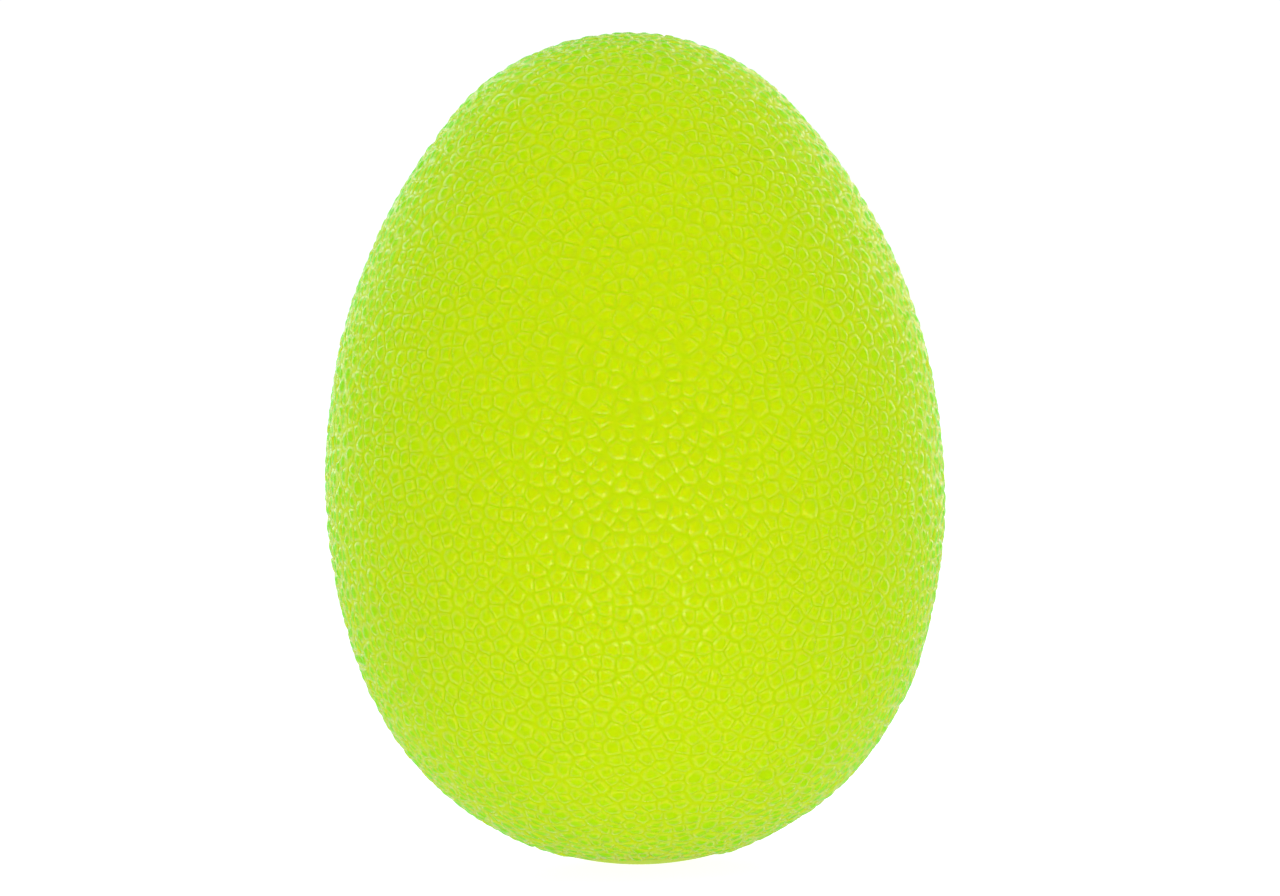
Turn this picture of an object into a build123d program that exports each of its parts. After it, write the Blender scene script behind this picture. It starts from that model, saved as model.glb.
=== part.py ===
from build123d import *
import math
import os

# Gel-filled stress egg for squeezing in one hand, in millimetres.
# A one-piece moulded rubber skin is stripped off its core, filled with soft gel through a
# port at the blunt end, and closed there with a barbed plug bedded on adhesive.
# The long axis is +Z, the blunt end is down, and the origin is the blunt end's lowest point.

# Driving dimensions of the egg: its outline is three arcs that run into each other.
LENGTH = 60.5
BLUNT_RADIUS = 21.4
TIP_RADIUS = 16.4
FLANK_RADIUS = 41.5
SKIN_WALL = 2.2

# The fill port: a recess outside for the plug's head, a hole, and a stiffening boss inside.
RECESS_RADIUS = 6.0
RECESS_FLOOR_Z = 1.95
PORT_RADIUS = 3.5
BOSS_RADIUS = 7.5
BOSS_TOP_Z = 4.4
PORT_CHAMFER = 0.4

# The plug: a flush head, a stem through the port, and a barb that locks behind the boss.
PLUG_CLEARANCE = 0.08
ADHESIVE_THICKNESS = 0.2
BARB_RADIUS = 4.5
BARB_NOSE_RADIUS = 2.4
BARB_LENGTH = 2.4
BARB_RIM = 0.5

# The gel clears the skin and the plug by this much, so that neighbours never overlap.
GEL_CLEARANCE = 0.05


def egg_face(inset):
    """Half of the egg's section in the XZ plane, with the whole outline moved in by inset."""
    blunt = BLUNT_RADIUS - inset
    tip = TIP_RADIUS - inset
    flank = FLANK_RADIUS - inset
    blunt_centre = Vector(0, 0, BLUNT_RADIUS)
    tip_centre = Vector(0, 0, LENGTH - TIP_RADIUS)

    # The flank's centre is where both end arcs touch the flank arc from inside.
    spacing = tip_centre.Z - blunt_centre.Z
    to_blunt = FLANK_RADIUS - BLUNT_RADIUS
    to_tip = FLANK_RADIUS - TIP_RADIUS
    rise = (to_blunt**2 - to_tip**2 + spacing**2) / (2 * spacing)
    across = math.sqrt(to_blunt**2 - rise**2)
    flank_centre = Vector(-across, 0, blunt_centre.Z + rise)

    blunt_pole = blunt_centre - Vector(0, 0, blunt)
    tip_pole = tip_centre + Vector(0, 0, tip)
    blunt_join = flank_centre + (blunt_centre - flank_centre).normalized() * flank
    tip_join = flank_centre + (tip_centre - flank_centre).normalized() * flank
    waist = flank_centre + Vector(flank, 0, 0)

    # The middle of an end arc is halfway round from its pole to its join.
    blunt_way = (blunt_pole - blunt_centre).normalized() + (blunt_join - blunt_centre).normalized()
    tip_way = (tip_pole - tip_centre).normalized() + (tip_join - tip_centre).normalized()
    blunt_middle = blunt_centre + blunt_way.normalized() * blunt
    tip_middle = tip_centre + tip_way.normalized() * tip

    outline = [
        ThreePointArc(blunt_pole, blunt_middle, blunt_join),
        ThreePointArc(blunt_join, waist, tip_join),
        ThreePointArc(tip_join, tip_middle, tip_pole),
        Line(tip_pole, blunt_pole),
    ]
    return make_face(Wire(outline))


def egg_solid(inset):
    return revolve(egg_face(inset), Axis.Z)


def upright_cylinder(radius, bottom, top):
    """A solid cylinder on the long axis, from one height to another."""
    column = Cylinder(radius, top - bottom, align=(Align.CENTER, Align.CENTER, Align.MIN))
    return Pos(0, 0, bottom) * column


def upright_cone(bottom_radius, top_radius, bottom, top):
    """A solid truncated cone on the long axis, from one height to another."""
    column = Cone(bottom_radius, top_radius, top - bottom, align=(Align.CENTER, Align.CENTER, Align.MIN))
    return Pos(0, 0, bottom) * column


def outer_skin():
    """The moulded wall, with its boss, its recess and the port through both."""
    egg = egg_solid(0)
    boss = upright_cylinder(BOSS_RADIUS, RECESS_FLOOR_Z, BOSS_TOP_Z)
    recess = upright_cylinder(RECESS_RADIUS, -1, RECESS_FLOOR_Z)
    port = upright_cylinder(PORT_RADIUS, RECESS_FLOOR_Z - 1, BOSS_TOP_Z + 1)
    lead_in = upright_cone(PORT_RADIUS, PORT_RADIUS + PORT_CHAMFER, BOSS_TOP_Z - PORT_CHAMFER, BOSS_TOP_Z)
    return egg - egg_solid(SKIN_WALL) + boss - recess - port - lead_in


def fill_plug():
    """The stopper: its head continues the egg's surface, and its barb points into the gel."""
    head_top = RECESS_FLOOR_Z - ADHESIVE_THICKNESS
    head = upright_cylinder(RECESS_RADIUS - PLUG_CLEARANCE, -1, head_top) & egg_solid(0)
    stem = upright_cylinder(PORT_RADIUS - PLUG_CLEARANCE, head_top, BOSS_TOP_Z + PLUG_CLEARANCE)
    rim_bottom = BOSS_TOP_Z + PLUG_CLEARANCE
    rim = upright_cylinder(BARB_RADIUS, rim_bottom, rim_bottom + BARB_RIM)
    nose = upright_cone(BARB_RADIUS, BARB_NOSE_RADIUS, rim_bottom + BARB_RIM, rim_bottom + BARB_LENGTH)
    return head + stem + rim + nose


def plug_adhesive():
    """The ring of flexible adhesive between the plug's head and the floor of the recess."""
    film = upright_cylinder(
        RECESS_RADIUS - PLUG_CLEARANCE, RECESS_FLOOR_Z - ADHESIVE_THICKNESS, RECESS_FLOOR_Z
    )
    return film - upright_cylinder(PORT_RADIUS, 0, BOSS_TOP_Z)


def gel_core():
    """The gel, which fills the skin and closes round the boss and the plug's barb."""
    boss_room = upright_cylinder(BOSS_RADIUS + GEL_CLEARANCE, 0, BOSS_TOP_Z + GEL_CLEARANCE)
    rim_bottom = BOSS_TOP_Z + PLUG_CLEARANCE
    rim_room = upright_cylinder(BARB_RADIUS + GEL_CLEARANCE, 0, rim_bottom + BARB_RIM + GEL_CLEARANCE)
    nose_room = upright_cone(
        BARB_RADIUS + GEL_CLEARANCE,
        BARB_NOSE_RADIUS + GEL_CLEARANCE,
        rim_bottom + BARB_RIM + GEL_CLEARANCE,
        rim_bottom + BARB_LENGTH + GEL_CLEARANCE,
    )
    return egg_solid(SKIN_WALL + GEL_CLEARANCE) - boss_room - rim_room - nose_room


os.makedirs("parts", exist_ok=True)
export_step(outer_skin(), "parts/outer_skin.step")
export_step(gel_core(), "parts/gel_core.step")
export_step(fill_plug(), "parts/fill_plug.step")
export_step(plug_adhesive(), "parts/plug_adhesive.step")
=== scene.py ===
import math

import bpy
import numpy as np
from mathutils import Matrix, Vector, geometry


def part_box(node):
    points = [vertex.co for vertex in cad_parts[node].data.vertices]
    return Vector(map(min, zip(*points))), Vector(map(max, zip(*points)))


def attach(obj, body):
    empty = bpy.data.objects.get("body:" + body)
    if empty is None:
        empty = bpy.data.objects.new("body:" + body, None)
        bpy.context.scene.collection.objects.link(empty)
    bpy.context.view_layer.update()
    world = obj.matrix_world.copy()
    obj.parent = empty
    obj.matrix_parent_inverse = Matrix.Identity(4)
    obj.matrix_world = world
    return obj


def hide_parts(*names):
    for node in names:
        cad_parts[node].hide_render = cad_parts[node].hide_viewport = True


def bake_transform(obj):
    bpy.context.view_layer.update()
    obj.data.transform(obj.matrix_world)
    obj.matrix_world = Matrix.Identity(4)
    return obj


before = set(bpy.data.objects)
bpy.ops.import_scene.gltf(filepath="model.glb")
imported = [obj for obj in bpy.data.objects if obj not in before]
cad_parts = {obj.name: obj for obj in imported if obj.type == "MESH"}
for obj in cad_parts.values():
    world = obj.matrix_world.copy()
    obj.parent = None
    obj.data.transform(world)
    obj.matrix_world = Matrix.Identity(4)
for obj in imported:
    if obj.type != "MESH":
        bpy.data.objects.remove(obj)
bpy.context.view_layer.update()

# Everything below is in metres, in the frame of the CAD model.
MM = 0.001
TIP_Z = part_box("outer_skin")[1][2]
AXIS_MIDDLE = Vector((0.0, 0.0, TIP_Z / 2))

# The egg's outline: three arcs that run into each other, as in the CAD model.
BLUNT_RADIUS = 21.4 * MM
TIP_RADIUS = 16.4 * MM
FLANK_RADIUS = 41.5 * MM
SKIN_WALL = 2.2 * MM
GEL_CLEARANCE = 0.05 * MM
# The gel stops this far short of the corner between the boss and the wall.
CORNER_GAP = 0.9 * MM

# The fill port at the blunt end.
RECESS_RADIUS = 6.0 * MM
RECESS_FLOOR_Z = 1.95 * MM
PORT_RADIUS = 3.5 * MM
BOSS_RADIUS = 7.5 * MM
BOSS_TOP_Z = 4.4 * MM
PORT_CHAMFER = 0.4 * MM

# The plug and its adhesive.
PLUG_CLEARANCE = 0.08 * MM
ADHESIVE_THICKNESS = 0.2 * MM
BARB_BOTTOM_Z = BOSS_TOP_Z + PLUG_CLEARANCE
BARB_RADIUS = 4.5 * MM
BARB_NOSE_RADIUS = 2.4 * MM
BARB_LENGTH = 2.4 * MM
BARB_RIM = 0.5 * MM

# Mesh spacing on the plain surfaces and on the two small pieces.
PLAIN = 0.7 * MM
STOPPER_SPACING = 0.25 * MM
ADHESIVE_SPACING = 0.3 * MM

# The moulded pebbles: low plates with steep, rounded edges and narrow grooves between them.
# Each new centre keeps GAP_LEAST to GAP_LEAST + GAP_SPREAD spacings away from those before it.
PEBBLE_SPACING = 0.86 * MM
GAP_LEAST = 0.85
GAP_SPREAD = 0.35
LIP_GAP = 0.4 * PEBBLE_SPACING
MIRROR_BAND = 2.2 * PEBBLE_SPACING
SEED = 12

# A pebble's height, the dome on its face, the spread of its lean, and its share of the height.
PEBBLE_DEPTH = 0.14 * MM
PEBBLE_DOME = 0.02 * MM
PEBBLE_TILT = 0.07
FULL_LEAST = 0.8
FULL_SPREAD = 0.4
SWELL_HEIGHT = 0.06 * MM

# The borders between pebbles: the length of one piece, and how far a border bows.
BORDER_PIECE = 0.4 * MM
BORDER_BOW = 0.03 * MM

# The two rings on a pebble: how far each lies in from the border, its share of the height, and the
# largest share of the way to the middle it may go. Corners are drawn in by a power of their reach.
CREST = (0.1 * MM, 0.66, 0.45)
SHOULDER = (0.28 * MM, 0.96, 0.7)
CORNER_POWER = 2.2

# The light tent: where it opens along Y, its strength in front and behind, how much stronger its
# reflections are, and its tint in diffuse light; then the glow of the floor inside it.
TENT_OPENING = (-0.95, -0.2)
TENT_FRONT = 0.05
TENT_BACK = 0.65
TENT_SHINE = 1.25
TENT_TINT = (0.58, 1, 0.85, 1)
FLOOR_GLOW = 0.6

# The camera sees the floor and the backdrop as plain white.
FLOOR_SEEN = 0.93
BACKDROP_SEEN = 1.05

# Lamp colours.
KEY_WARM = (1.0, 0.7, 0.6)
KEY_COOL = (0.8, 1.0, 0.78)

# ---------------------------------------------------------------- the egg's outline

BLUNT_CENTRE_Z = BLUNT_RADIUS
TIP_CENTRE_Z = TIP_Z - TIP_RADIUS


def flank_centre():
    """The flank arc's centre (radius, height): both end arcs touch the flank arc from inside."""
    spacing = TIP_CENTRE_Z - BLUNT_CENTRE_Z
    to_blunt = FLANK_RADIUS - BLUNT_RADIUS
    to_tip = FLANK_RADIUS - TIP_RADIUS
    rise = (to_blunt**2 - to_tip**2 + spacing**2) / (2 * spacing)
    return -math.sqrt(to_blunt**2 - rise**2), BLUNT_CENTRE_Z + rise


FLANK_R, FLANK_Z = flank_centre()
# Arcs meet where they share a normal, so the normal's slope alone says where a point lies.
BLUNT_JOIN = math.atan2(BLUNT_CENTRE_Z - FLANK_Z, -FLANK_R)
TIP_JOIN = math.atan2(TIP_CENTRE_Z - FLANK_Z, -FLANK_R)
ARCS = [
    (-math.pi / 2, BLUNT_JOIN, 0.0, BLUNT_CENTRE_Z, BLUNT_RADIUS),
    (BLUNT_JOIN, TIP_JOIN, FLANK_R, FLANK_Z, FLANK_RADIUS),
    (TIP_JOIN, math.pi / 2, 0.0, TIP_CENTRE_Z, TIP_RADIUS),
]


def outline(inset, spacing, start_slope):
    """Points (radius, height, normal's slope) from the slope given up to the narrow pole."""
    points = []
    for low, high, centre_r, centre_z, radius in ARCS:
        low = max(low, start_slope)
        if low >= high:
            continue
        steps = max(2, round((radius - inset) * (high - low) / spacing))
        for i in range(steps):
            slope = low + (high - low) * i / steps
            r = centre_r + (radius - inset) * math.cos(slope)
            points.append((r, centre_z + (radius - inset) * math.sin(slope), slope))
    points.append((0.0, TIP_CENTRE_Z + TIP_RADIUS - inset, math.pi / 2))
    return points


def slope_at(radius_from_axis, inset):
    """The normal's slope on the blunt arc at a distance from the axis."""
    return -math.acos(radius_from_axis / (BLUNT_RADIUS - inset))


def on_outline(slopes):
    """Distance from the axis, height and arc radius where the outline's normal has each slope."""
    ends = [slopes <= BLUNT_JOIN, slopes >= TIP_JOIN]
    centre_r = np.select(ends, [0.0, 0.0], FLANK_R)
    centre_z = np.select(ends, [BLUNT_CENTRE_Z, TIP_CENTRE_Z], FLANK_Z)
    arc = np.select(ends, [BLUNT_RADIUS, TIP_RADIUS], FLANK_RADIUS)
    return centre_r + arc * np.cos(slopes), centre_z + arc * np.sin(slopes), arc


def round_axis(radii, heights, turns):
    return np.stack([radii * np.cos(turns), radii * np.sin(turns), heights], axis=-1)


def slope_and_turn(points):
    """Which normal of the egg each point lies on: its slope, and its angle round the axis."""
    r = np.hypot(points[:, 0], points[:, 1])
    z = points[:, 2]
    slope = np.arctan2(z - FLANK_Z, r - FLANK_R)
    slope = np.where(slope < BLUNT_JOIN, np.arctan2(z - BLUNT_CENTRE_Z, r), slope)
    slope = np.where(slope > TIP_JOIN, np.arctan2(z - TIP_CENTRE_Z, r), slope)
    return slope, np.arctan2(points[:, 1], points[:, 0])


def on_egg(slopes, turns):
    """Points on the egg's outside, and its normals there."""
    r, z, _ = on_outline(slopes)
    return round_axis(r, z, turns), round_axis(np.cos(slopes), np.sin(slopes), turns)


# ---------------------------------------------------------------- meshes of revolution


def ring_size(radius, spacing):
    return max(6, round(2 * math.pi * radius / spacing))


def zip_rings(first, second):
    """Triangles between two rings of any sizes. A ring of one point is a pole."""
    a, b = len(first), len(second)
    if a == 1:
        return [(first[0], second[(j + 1) % b], second[j]) for j in range(b)]
    if b == 1:
        return [(first[i], first[(i + 1) % a], second[0]) for i in range(a)]
    faces = []
    i = j = 0
    while i < a or j < b:
        if j >= b or (i < a and (i + 1) * b <= (j + 1) * a):
            faces.append((first[i % a], first[(i + 1) % a], second[j % b]))
            i += 1
        else:
            faces.append((first[i % a], second[(j + 1) % b], second[j % b]))
            j += 1
    return faces


def band(first, second):
    """Triangles between two rings with the same number of points."""
    faces = []
    for a, b, c, d in zip(first, first[1:] + first[:1], second[1:] + second[:1], second):
        faces += [(a, b, c), (a, c, d)]
    return faces


def zip_by_turn(first, second, points):
    """Triangles between two rings whose points are unevenly spaced: both start at the same turn."""

    def turn(point):
        return math.atan2(points[point][1], points[point][0]) % math.tau

    def from_zero(ring):
        start = min(range(len(ring)), key=lambda i: turn(ring[i]))
        return ring[start:] + ring[:start]

    return zip_rings(from_zero(first), from_zero(second))


def lathe(profile, closed):
    """Turns a list of (radius, height, spacing) into points and triangles, facing right of the way."""
    points, rings = [], []
    for radius, height, spacing in profile:
        count = 1 if radius < 1e-9 else ring_size(radius, spacing)
        turns = np.arange(count) / count * 2 * math.pi
        rings.append(list(range(len(points), len(points) + count)))
        points.extend(zip(radius * np.cos(turns), radius * np.sin(turns), [height] * count))
    faces = []
    for first, second in zip(rings, rings[1:]):
        faces.extend(zip_rings(first, second))
    if closed:
        faces.extend(zip_rings(rings[-1], rings[0]))
    return np.array(points), faces, rings


def mesh_object(name, points, faces, **attributes):
    mesh = bpy.data.meshes.new(name)
    mesh.from_pydata(points.tolist(), [], faces)
    mesh.validate()
    mesh.shade_smooth()
    for label, values in attributes.items():
        if values.ndim == 1:
            mesh.attributes.new(label, "FLOAT", "POINT").data.foreach_set("value", values)
        else:
            mesh.attributes.new(label, "FLOAT_VECTOR", "POINT").data.foreach_set("vector", values.ravel())
    piece = bpy.data.objects.new(name, mesh)
    bpy.context.scene.collection.objects.link(piece)
    return piece


# ---------------------------------------------------------------- the pebbles


def scatter_pebbles(rng, lip_slope):
    """Slopes and turns of pebble centres from the lip up, each clear of those before it."""
    steps = 4000
    ladder = np.linspace(lip_slope + LIP_GAP / BLUNT_RADIUS, math.pi / 2, steps)
    radii, _, arcs = on_outline(ladder)
    area = np.concatenate([[0.0], np.cumsum(np.diff(ladder) * (arcs * radii)[1:])])
    tries = 70000
    slopes = np.interp(rng.random(tries) * area[-1], area, ladder)
    turns = rng.random(tries) * 2 * math.pi
    gaps = PEBBLE_SPACING * (GAP_LEAST + GAP_SPREAD * rng.random(tries))
    spots, _ = on_egg(slopes, turns)
    reach = PEBBLE_SPACING * (GAP_LEAST + GAP_SPREAD)
    cells, kept = {}, []
    for i, key in enumerate(map(tuple, np.floor(spots / reach).astype(int))):
        near = [
            other
            for dx in (-1, 0, 1)
            for dy in (-1, 0, 1)
            for dz in (-1, 0, 1)
            for other in cells.get((key[0] + dx, key[1] + dy, key[2] + dz), ())
        ]
        if near and ((spots[near] - spots[i]) ** 2).sum(axis=1).min() < gaps[i] ** 2:
            continue
        cells.setdefault(key, []).append(i)
        kept.append(i)
    return slopes[kept], turns[kept]


def flat_map(slopes, turns):
    """A map of the egg on a plane, narrow end in the middle, that keeps every small shape's angles."""
    steps = 6000
    end = math.pi / 2 - 1e-3
    ladder = np.linspace(-end, end, steps)
    radii, _, arcs = on_outline(ladder)
    growth = arcs / radii
    climb = np.concatenate([[0.0], np.cumsum(np.diff(ladder) * (growth[1:] + growth[:-1]) / 2)])
    climb -= np.interp(0.0, ladder, climb)
    spread = np.exp(-np.interp(slopes, ladder, climb))
    return np.stack([spread * np.cos(turns), spread * np.sin(turns)], axis=1)


def neighbour_triangles(slopes, turns):
    """Triangles of neighbouring pebbles, facing out."""
    places = [Vector(place) for place in flat_map(slopes, turns)]
    _, _, triangles, origins, _, _ = geometry.delaunay_2d_cdt(places, [], [], 0, 1e-6)
    return np.array([[origins[corner][0] for corner in triangle] for triangle in triangles])


def meeting_points(triangles, seeds):
    """Where three pebbles meet: as far from each of the three as from the others."""
    a, b, c = (seeds[triangles[:, k]] for k in range(3))
    a, b = a - c, b - c
    normal = np.cross(a, b)
    square_a = (a * a).sum(axis=1)[:, None]
    square_b = (b * b).sum(axis=1)[:, None]
    return c + np.cross(square_a * b - square_b * a, normal) / (2 * (normal**2).sum(axis=1)[:, None])


def cell_corners(triangles, count):
    """For each pebble below count, the triangles round it in order, each with the pebble after it."""
    after = [{} for _ in range(triangles.max() + 1)]
    for t, (a, b, c) in enumerate(triangles.tolist()):
        after[a][b] = (c, t)
        after[b][c] = (a, t)
        after[c][a] = (b, t)
    cells = []
    for ring in after[:count]:
        first = here = next(iter(ring))
        cell = []
        while True:
            here, triangle = ring[here]
            cell.append((triangle, here))
            if here == first:
                break
        cells.append(cell)
    return cells


def pebbled_surface(lip_slope, rng):
    """The egg's outside from the lip up: points, triangles, attributes, and the lip's points in order."""
    slopes, turns = scatter_pebbles(rng, lip_slope)
    count = len(slopes)
    # A mirror image of the lowest pebbles, below the lip, puts the lowest cells' edge on the lip.
    low = slopes < lip_slope + MIRROR_BAND / BLUNT_RADIUS
    slopes = np.concatenate([slopes, 2 * lip_slope - slopes[low]])
    turns = np.concatenate([turns, turns[low]])
    seeds, _ = on_egg(slopes, turns)
    triangles = neighbour_triangles(slopes, turns)
    cells = cell_corners(triangles, count)

    corner_slopes, corner_turns = slope_and_turn(meeting_points(triangles, seeds))
    at_lip = (triangles < count).any(axis=1) & (triangles >= count).any(axis=1)
    corner_slopes[at_lip] = lip_slope
    corners, _ = on_egg(corner_slopes, corner_turns)

    points = list(corners)
    along_lip = list(at_lip)
    between = {}

    def border(start, end, other):
        """Points from one corner of a cell to the next, the last left out; both cells share them."""
        key = (min(start, end), max(start, end))
        if key not in between:
            low_end, high_end = points[key[0]], points[key[1]]
            pieces = max(1, round(np.linalg.norm(high_end - low_end) / BORDER_PIECE))
            between[key] = list(range(len(points), len(points) + pieces - 1))
            bow = rng.normal(size=3) * BORDER_BOW
            points.extend(low_end + (high_end - low_end) * i / pieces + bow for i in range(1, pieces))
            along_lip.extend([other >= count] * (pieces - 1))
        inner = between[key]
        return [start] + (inner if start == key[0] else inner[::-1])

    outlines, lip_next = [], {}
    for cell in cells:
        ring = []
        for (start, other), (end, _) in zip(cell, cell[1:] + cell[:1]):
            part = border(start, end, other)
            ring += part
            if other >= count:
                lip_next.update(zip(part, part[1:] + [end]))
        outlines.append(ring)

    border_slopes, border_turns = slope_and_turn(np.array(points))
    border_slopes[np.array(along_lip)] = lip_slope
    edge, edge_normals = on_egg(border_slopes, border_turns)

    fullness = FULL_LEAST + FULL_SPREAD * rng.random(count)
    leans = rng.normal(size=(count, 3)) * PEBBLE_TILT
    shades = rng.random(count)
    places, heights = [edge], [np.zeros(len(edge))]
    groove, crest, shade = [np.ones(len(edge))], [np.zeros(len(edge))], [np.full(len(edge), 0.5)]
    faces, total = [], len(edge)
    for i, ring in enumerate(outlines):
        seed = seeds[i]
        out = edge[ring] - seed
        reach = np.linalg.norm(out, axis=1)
        corner = (reach / reach.min()) ** CORNER_POWER
        outer = ring
        for (inset, rise, most), is_crest in ((CREST, 1.0), (SHOULDER, 0.0)):
            keep = 1 - np.minimum(inset * corner / reach, most)
            step = out * keep[:, None]
            places.append(seed + step)
            heights.append(PEBBLE_DEPTH * fullness[i] * rise + step @ leans[i])
            inner = list(range(total, total + len(ring)))
            total += len(ring)
            faces += band(outer, inner)
            outer = inner
            crest.append(np.full(len(ring), is_crest))
        places.append(seed[None])
        heights.append(np.array([PEBBLE_DEPTH * fullness[i] + PEBBLE_DOME]))
        faces += [(a, b, total) for a, b in zip(outer, outer[1:] + outer[:1])]
        total += 1
        groove.append(np.zeros(2 * len(ring) + 1))
        crest.append(np.zeros(1))
        shade.append(np.full(2 * len(ring) + 1, shades[i]))

    surface, normals = on_egg(*slope_and_turn(np.concatenate(places)))
    surface[: len(edge)], normals[: len(edge)] = edge, edge_normals
    height = np.concatenate(heights) + SWELL_HEIGHT * swell(surface)
    height[: len(edge)][np.array(along_lip)] = 0.0
    attributes = {
        "groove": np.concatenate(groove),
        "crest": np.concatenate(crest),
        "shade": np.concatenate(shade),
        "egg_normal": normals,
    }
    first = here = next(iter(lip_next))
    lip = [first]
    while lip_next[here] != first:
        here = lip_next[here]
        lip.append(here)
    return surface + normals * height[:, None], faces, attributes, lip


def swell(points):
    """A slow unevenness of the moulded surface, from -1 to 1."""
    x, y, z = (points / (1.0 * MM)).T
    waves = np.sin(0.42 * x + 1.3 * np.sin(0.21 * z)) + np.sin(0.37 * y - 0.29 * z + 2.0)
    return (waves + np.sin(0.51 * z + 0.33 * x + 0.7)) / 3


# ---------------------------------------------------------------- materials


def new_material(name):
    material = bpy.data.materials.new(name)
    material.use_nodes = True
    nodes = material.node_tree.nodes
    nodes.clear()
    out = nodes.new("ShaderNodeOutputMaterial")
    shader = nodes.new("ShaderNodeBsdfPrincipled")
    material.node_tree.links.new(shader.outputs["BSDF"], out.inputs["Surface"])
    return material, shader


def node(material, kind, **inputs):
    """A node with its inputs set: numbers and colours are set on the socket, outputs are linked."""
    made = material.node_tree.nodes.new(kind)
    for label, value in inputs.items():
        number = label[1:]
        socket = made.inputs[int(number) if number.isdigit() else label.replace("_", " ")]
        if isinstance(value, bpy.types.NodeSocket):
            material.node_tree.links.new(value, socket)
        else:
            socket.default_value = value
    return made


def sockets(made, **values):
    for label, value in values.items():
        made.inputs[label.replace("_", " ")].default_value = value


def in_object(material):
    return material.node_tree.nodes.new("ShaderNodeTexCoord").outputs["Object"]


def noise(material, scale, detail, rough=0.5):
    """Three-dimensional noise with a cell of 1/scale metres, from 0 to 1."""
    made = node(material, "ShaderNodeTexNoise", Vector=in_object(material), Scale=scale, Detail=detail)
    made.inputs["Roughness"].default_value = rough
    return made.outputs["Fac"]


def bump(material, height, strength, distance):
    """Normals leaned by a height map; distance is the height that 1 stands for."""
    made = node(material, "ShaderNodeBump", Height=height, Strength=strength, Distance=distance)
    return made.outputs["Normal"]


def remap(material, value, low, high, to_low, to_high):
    made = node(material, "ShaderNodeMapRange", Value=value)
    made.inputs["From Min"].default_value = low
    made.inputs["From Max"].default_value = high
    made.inputs["To Min"].default_value = to_low
    made.inputs["To Max"].default_value = to_high
    return made.outputs["Result"]


def mix(material, factor, first, second):
    """A colour mixed from two; each is a colour or a socket."""
    made = material.node_tree.nodes.new("ShaderNodeMix")
    made.data_type = "RGBA"
    for label, value in (("Factor_Float", factor), ("A_Color", first), ("B_Color", second)):
        socket = next(s for s in made.inputs if s.identifier == label)
        if isinstance(value, bpy.types.NodeSocket):
            material.node_tree.links.new(value, socket)
        else:
            socket.default_value = value
    return next(s for s in made.outputs if s.identifier == "Result_Color")


def attribute(material, name, kind="Fac"):
    made = material.node_tree.nodes.new("ShaderNodeAttribute")
    made.attribute_name = name
    return made.outputs[kind]


def wire(material, shader, **links):
    for label, source in links.items():
        material.node_tree.links.new(source, shader.inputs[label.replace("_", " ")])


def skin_material():
    """Dyed translucent rubber: dull yellow-lime faces, and polished, slightly greener rims."""
    material, shader = new_material("lime_gel_skin")
    yellow_lime = (0.71, 0.78, 0.002, 1)
    green_lime = (0.67, 0.775, 0.002, 1)
    rim_lime = (0.56, 0.80, 0.003, 1)
    cloud = remap(material, noise(material, 160, 3), 0.35, 0.7, 0, 1)
    colour = mix(material, cloud, yellow_lime, green_lime)
    own_shade = remap(material, attribute(material, "shade"), 0.3, 1, 0, 0.5)
    colour = mix(material, own_shade, colour, green_lime)
    groove = attribute(material, "groove")
    crest = attribute(material, "crest")
    rim = node(material, "ShaderNodeMath", _0=groove, _1=crest).outputs[0]
    rim = remap(material, rim, 0.3, 0.9, 0, 1)
    colour = mix(material, rim, colour, rim_lime)
    satin = remap(material, noise(material, 2500, 2), 0.3, 0.7, 0.17, 0.28)
    grain = bump(material, noise(material, 4200, 3), 0.35, 0.03 * MM)
    wire(material, shader, Base_Color=colour, Roughness=satin, Normal=grain)
    # The pebbles' rounded rims are polished by handling and their faces stay dull; the dyed film
    # lies on the faces and is worn off the rims.
    wire(material, shader, Specular_IOR_Level=remap(material, crest, 0.35, 1, 0.02, 1))
    wire(material, shader, Coat_Weight=remap(material, rim, 0, 1, 1, 0))
    # The dyed film follows the egg's own shape, and it looks greener through a longer way.
    wire(material, shader, Coat_Normal=attribute(material, "egg_normal", "Vector"))
    sockets(
        shader,
        IOR=1.45,
        Specular_Tint=(1.0, 1.0, 0.5, 1),
        Coat_IOR=1.03,
        Coat_Roughness=0.5,
        Coat_Tint=(0.77, 1.0, 0.95, 1),
        Subsurface_Weight=1.0,
        Subsurface_Radius=(0.7, 1.0, 0.2),
        Subsurface_Scale=2.6 * MM,
    )
    return material


def gel_material():
    """The filling: a wet yellow-lime gel, clouded by trapped air."""
    material, shader = new_material("yellow_gel")
    cloud = remap(material, noise(material, 260, 4), 0.35, 0.65, 0, 1)
    colour = mix(material, cloud, (0.68, 0.78, 0.01, 1), (0.56, 0.72, 0.005, 1))
    ripple = bump(material, noise(material, 700, 3), 0.3, 0.1 * MM)
    gloss = remap(material, noise(material, 900, 2), 0.3, 0.7, 0.08, 0.16)
    wire(material, shader, Base_Color=colour, Roughness=gloss, Normal=ripple)
    sockets(
        shader,
        IOR=1.45,
        Subsurface_Weight=1.0,
        Subsurface_Radius=(0.8, 1.0, 0.2),
        Subsurface_Scale=3 * MM,
    )
    return material


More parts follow.
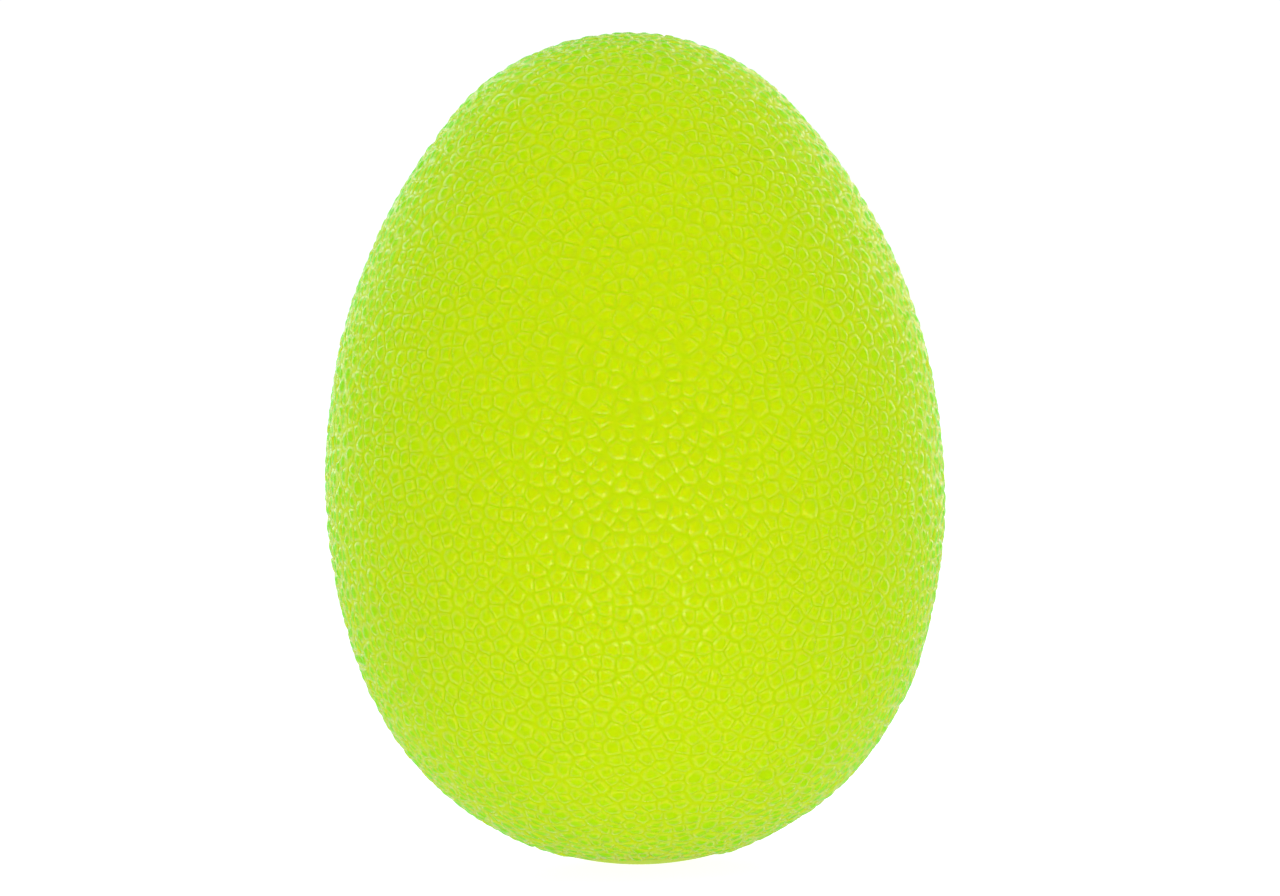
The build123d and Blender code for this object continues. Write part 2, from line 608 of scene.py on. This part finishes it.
def plug_material():
    """The stopper's rubber: a dull, evenly moulded lime, a little greener than the skin."""
    material, shader = new_material("lime_plug_rubber")
    cloud = remap(material, noise(material, 420, 3), 0.35, 0.7, 0, 1)
    colour = mix(material, cloud, (0.56, 0.76, 0.002, 1), (0.47, 0.73, 0.004, 1))
    satin = remap(material, noise(material, 1800, 2), 0.3, 0.7, 0.3, 0.45)
    grain = bump(material, noise(material, 3600, 3), 0.35, 0.03 * MM)
    wire(material, shader, Base_Color=colour, Roughness=satin, Normal=grain)
    sockets(
        shader,
        IOR=1.25,
        Specular_IOR_Level=0.1,
        Subsurface_Weight=1.0,
        Subsurface_Radius=(0.8, 1.0, 0.2),
        Subsurface_Scale=1 * MM,
    )
    return material


def adhesive_material():
    """Flexible adhesive: pale, a little cloudy and glossy."""
    material, shader = new_material("pale_adhesive")
    cloud = remap(material, noise(material, 1200, 3), 0.35, 0.65, 0, 1)
    colour = mix(material, cloud, (0.72, 0.8, 0.45, 1), (0.62, 0.74, 0.3, 1))
    gloss = remap(material, noise(material, 2400, 2), 0.3, 0.7, 0.12, 0.25)
    wire(material, shader, Base_Color=colour, Roughness=gloss)
    sockets(shader, IOR=1.45, Subsurface_Weight=0.6, Subsurface_Scale=0.5 * MM)
    return material


# ---------------------------------------------------------------- the pieces


def make_skin():
    """The whole moulded wall: pebbled outside, plain inside, with its recess, port and boss."""
    lip_slope = slope_at(RECESS_RADIUS, 0.0)
    rng = np.random.default_rng(SEED)
    points, faces, attributes, lip = pebbled_surface(lip_slope, rng)
    pebbled = len(points)

    # The recess and the port run in from the lip's own points, and the plain inside is turned.
    lip_turns = np.arctan2(points[lip][:, 1], points[lip][:, 0])
    edge = [
        (RECESS_RADIUS, RECESS_FLOOR_Z),
        (PORT_RADIUS, RECESS_FLOOR_Z),
        (PORT_RADIUS, BOSS_TOP_Z - PORT_CHAMFER),
        (PORT_RADIUS + PORT_CHAMFER, BOSS_TOP_Z),
        (BOSS_RADIUS, BOSS_TOP_Z),
    ]
    points = list(points)
    outer = lip
    for r, z in edge:
        inner = list(range(len(points), len(points) + len(lip)))
        points.extend(round_axis(np.full(len(lip), r), np.full(len(lip), z), lip_turns))
        faces += band(inner, outer)
        outer = inner
    inside = outline(SKIN_WALL, PLAIN, slope_at(BOSS_RADIUS, SKIN_WALL))
    wall, wall_faces, rings = lathe([(r, z, PLAIN) for r, z, _ in inside], closed=False)
    start = len(points)
    points = np.concatenate([points, wall])
    faces += [(a + start, c + start, b + start) for a, b, c in wall_faces]
    faces += zip_by_turn([i + start for i in rings[0]], outer, points)
    rest = len(points) - pebbled
    attributes = {
        label: np.concatenate([values, np.zeros((rest,) + values.shape[1:])])
        for label, values in attributes.items()
    }
    piece = mesh_object("pebbled_skin", points, faces, **attributes)
    piece.data.materials.append(skin_material())
    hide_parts("outer_skin")
    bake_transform(piece)


def blunt_height(radius_from_axis):
    """Height of the blunt arc at a distance from the axis."""
    return BLUNT_RADIUS - math.sqrt(BLUNT_RADIUS**2 - radius_from_axis**2)


def turned_piece(name, profile, spacing, closed, maker, node_name):
    """A piece turned from a profile of (radius, height), which stands for one CAD node."""
    points, faces, _ = lathe([(r, z, spacing) for r, z in profile], closed)
    piece = mesh_object(name, points, faces)
    piece.data.materials.append(maker())
    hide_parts(node_name)
    return piece


def make_gel():
    """The filling, cast against the inside of the wall, the boss and the plug's barb."""
    clear = GEL_CLEARANCE
    rim_top = BARB_BOTTOM_Z + BARB_RIM + clear
    profile = [
        (0.0, BARB_BOTTOM_Z + BARB_LENGTH + clear),
        (BARB_NOSE_RADIUS + clear, BARB_BOTTOM_Z + BARB_LENGTH + clear),
        (BARB_RADIUS + clear, rim_top),
        (BARB_RADIUS + clear, BOSS_TOP_Z + clear),
        (BOSS_RADIUS + clear, BOSS_TOP_Z + clear),
    ]
    inset = SKIN_WALL + clear
    profile += [(r, z) for r, z, _ in outline(inset, PLAIN, slope_at(BOSS_RADIUS + CORNER_GAP, inset))]
    gel = turned_piece("gel_filling", profile, PLAIN, False, gel_material, "gel_core")
    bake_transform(gel)


def make_stopper():
    """The stopper: a head flush with the egg, a stem, and a barb. A gate mark is left in its middle."""
    head_radius = RECESS_RADIUS - PLUG_CLEARANCE
    head_top = RECESS_FLOOR_Z - ADHESIVE_THICKNESS
    round_edge = 0.3 * MM
    bevel = 0.1 * MM
    nose_bevel = 0.15 * MM
    gate_z = 0.22 * MM
    dish_z = 0.32 * MM
    profile = [(0.0, gate_z), (0.35 * MM, gate_z), (0.5 * MM, dish_z), (1.3 * MM, dish_z)]
    for i in range(9):
        r = 1.55 * MM + i * 0.45 * MM
        profile.append((r, blunt_height(r)))
    edge_z = blunt_height(head_radius - round_edge)
    for i in range(7):
        turn = math.radians(15 * i)
        r = head_radius - round_edge * (1 - math.sin(turn))
        profile.append((r, edge_z + round_edge * (1 - math.cos(turn))))
    stem = PORT_RADIUS - PLUG_CLEARANCE
    rim_top = BARB_BOTTOM_Z + BARB_RIM
    nose_top = BARB_BOTTOM_Z + BARB_LENGTH
    profile += [
        (head_radius, head_top),
        (stem, head_top),
        (stem, BARB_BOTTOM_Z),
        (BARB_RADIUS - bevel, BARB_BOTTOM_Z),
        (BARB_RADIUS, BARB_BOTTOM_Z + bevel),
        (BARB_RADIUS, rim_top - bevel),
        (BARB_RADIUS - bevel, rim_top),
        (BARB_NOSE_RADIUS + nose_bevel, nose_top - nose_bevel),
        (BARB_NOSE_RADIUS - bevel, nose_top),
        (0.0, nose_top),
    ]
    stopper = turned_piece(
        "stopper", profile, STOPPER_SPACING, False, plug_material, "fill_plug"
    )
    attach(stopper, "plug")


def make_adhesive():
    """The ring of adhesive, whose outer edge bulges a little where it was squeezed out."""
    low, high = RECESS_FLOOR_Z - ADHESIVE_THICKNESS, RECESS_FLOOR_Z
    bulge = 0.1 * MM
    edge = RECESS_RADIUS - PLUG_CLEARANCE - 0.06 * MM
    profile = [(PORT_RADIUS, low), (edge, low)]
    for i in range(7):
        turn = math.radians(30 * i - 90)
        profile.append((edge + bulge * math.cos(turn), (low + high) / 2 + bulge * math.sin(turn)))
    profile += [(edge, high), (PORT_RADIUS, high)]
    profile = [p for i, p in enumerate(profile) if i == 0 or math.dist(p, profile[i - 1]) > 1e-6]
    film = turned_piece(
        "adhesive_ring", profile, ADHESIVE_SPACING, True, adhesive_material, "plug_adhesive"
    )
    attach(film, "plug")


# ---------------------------------------------------------------- the stage


def by_ray(tree, kind, other, given):
    """A number that is given for rays of one kind and other for the rest."""
    chosen = tree.nodes.new("ShaderNodeMix")
    tree.links.new(tree.nodes.new("ShaderNodeLightPath").outputs[kind], chosen.inputs["Factor"])
    for socket, value in ((chosen.inputs["A"], other), (chosen.inputs["B"], given)):
        if isinstance(value, bpy.types.NodeSocket):
            tree.links.new(value, socket)
        else:
            socket.default_value = value
    return chosen.outputs["Result"]


def make_floor():
    """A pale table, which the camera sees as lit from below, like the light tent's own cloth."""
    size = 4.0
    corners = [(-size, -size, 0), (size, -size, 0), (size, size, 0), (-size, size, 0)]
    floor = mesh_object("floor", np.array(corners, float), [(0, 1, 2, 3)])
    material, shader = new_material("white_table")
    sockets(shader, Base_Color=(0.3, 0.3, 0.3, 1), Roughness=0.7, Emission_Color=(1, 1, 1, 1))
    glow = by_ray(material.node_tree, "Is Camera Ray", FLOOR_GLOW, FLOOR_SEEN)
    material.node_tree.links.new(glow, shader.inputs["Emission Strength"])
    floor.data.materials.append(material)


def make_world():
    """A tent round the sides and back, which opens to a dim room on the camera's side."""
    world = bpy.data.worlds.new("tent")
    bpy.context.scene.world = world
    world.use_nodes = True
    tree = world.node_tree
    background = tree.nodes["Background"]
    parts = tree.nodes.new("ShaderNodeSeparateXYZ")
    tree.links.new(tree.nodes.new("ShaderNodeTexCoord").outputs["Generated"], parts.inputs[0])
    fade = tree.nodes.new("ShaderNodeMapRange")
    fade.interpolation_type = "SMOOTHSTEP"
    tree.links.new(parts.outputs["Y"], fade.inputs["Value"])
    opens, closed = TENT_OPENING
    limits = {"From Min": opens, "From Max": closed, "To Min": TENT_FRONT, "To Max": TENT_BACK}
    for label, value in limits.items():
        fade.inputs[label].default_value = value
    shine = tree.nodes.new("ShaderNodeMath")
    shine.operation = "MULTIPLY"
    tree.links.new(fade.outputs["Result"], shine.inputs[0])
    shine.inputs[1].default_value = TENT_SHINE
    strength = by_ray(tree, "Is Glossy Ray", fade.outputs["Result"], shine.outputs[0])
    tree.links.new(by_ray(tree, "Is Camera Ray", strength, BACKDROP_SEEN), background.inputs["Strength"])
    # The camera and the reflections see the tent white; its tint is in the diffuse light only.
    white = tree.nodes.new("ShaderNodeMix")
    white.data_type = "RGBA"
    rays = tree.nodes.new("ShaderNodeLightPath")
    either = tree.nodes.new("ShaderNodeMath")
    either.operation = "MAXIMUM"
    tree.links.new(rays.outputs["Is Camera Ray"], either.inputs[0])
    tree.links.new(rays.outputs["Is Glossy Ray"], either.inputs[1])
    tree.links.new(either.outputs[0], white.inputs["Factor"])
    white.inputs[6].default_value = TENT_TINT
    white.inputs[7].default_value = (1, 1, 1, 1)
    tree.links.new(white.outputs[2], background.inputs["Color"])


def softbox(name, place, target, size, power, colour=(1, 1, 1)):
    """A round area light that points at its target and that the camera can't see."""
    light = bpy.data.lights.new(name, "AREA")
    light.shape = "DISK"
    light.size = size
    light.energy = power
    light.color = colour
    lamp = bpy.data.objects.new(name, light)
    lamp.location = place
    lamp.visible_camera = False
    lamp.rotation_euler = (Vector(target) - Vector(place)).to_track_quat("-Z", "Y").to_euler()
    bpy.context.scene.collection.objects.link(lamp)
    return lamp


def make_lights():
    """Warm lamps all round, but for a cooler one behind on the left, and a low one that only glints."""
    softbox("front_right", (0.45, -0.7, 0.05), AXIS_MIDDLE, 0.35, 4.0, KEY_WARM).visible_glossy = False
    softbox("front_left", (-0.45, -0.7, 0.05), AXIS_MIDDLE, 0.35, 3.6, KEY_WARM).visible_glossy = False
    softbox("rear_right", (0.45, 0.7, 0.3), AXIS_MIDDLE, 0.9, 1.8, KEY_WARM)
    softbox("rear_left", (-0.45, 0.7, 0.3), AXIS_MIDDLE, 0.9, 1.3, KEY_COOL)
    softbox("top", (0.0, -0.1, 0.9), AXIS_MIDDLE, 0.9, 2.45, KEY_WARM).visible_glossy = False
    softbox("glint", (0.0, -0.08, 0.006), (0.0, -0.06, 0.1), 0.045, 0.011).visible_diffuse = False


def make_camera():
    """At the egg's own height, a long lens, leaning so that the egg's narrow end points 2 degrees left."""
    distance = 0.45
    frame_width = 93.4 * MM
    elevation = math.radians(1.5)
    lean = math.radians(-1.97)
    camera = bpy.data.cameras.new("camera")
    camera.sensor_width = 36.0
    camera.lens = camera.sensor_width * distance / frame_width
    camera.clip_start = 0.01
    camera.clip_end = 20.0
    holder = bpy.data.objects.new("camera", camera)
    off_middle = Vector((0.45 * MM, 0.0, 0.1 * MM))
    aim = AXIS_MIDDLE + off_middle
    back = Vector((0.0, -math.cos(elevation), math.sin(elevation)))
    turn = (-back).to_track_quat("-Z", "Y").to_matrix().to_4x4()
    holder.matrix_world = Matrix.Translation(aim + back * distance) @ turn @ Matrix.Rotation(lean, 4, "Z")
    bpy.context.scene.collection.objects.link(holder)
    bpy.context.scene.camera = holder


make_camera()
make_world()
make_floor()
make_lights()
make_skin()
make_gel()
make_stopper()
make_adhesive()
bpy.context.scene.view_settings.view_transform = "Standard"
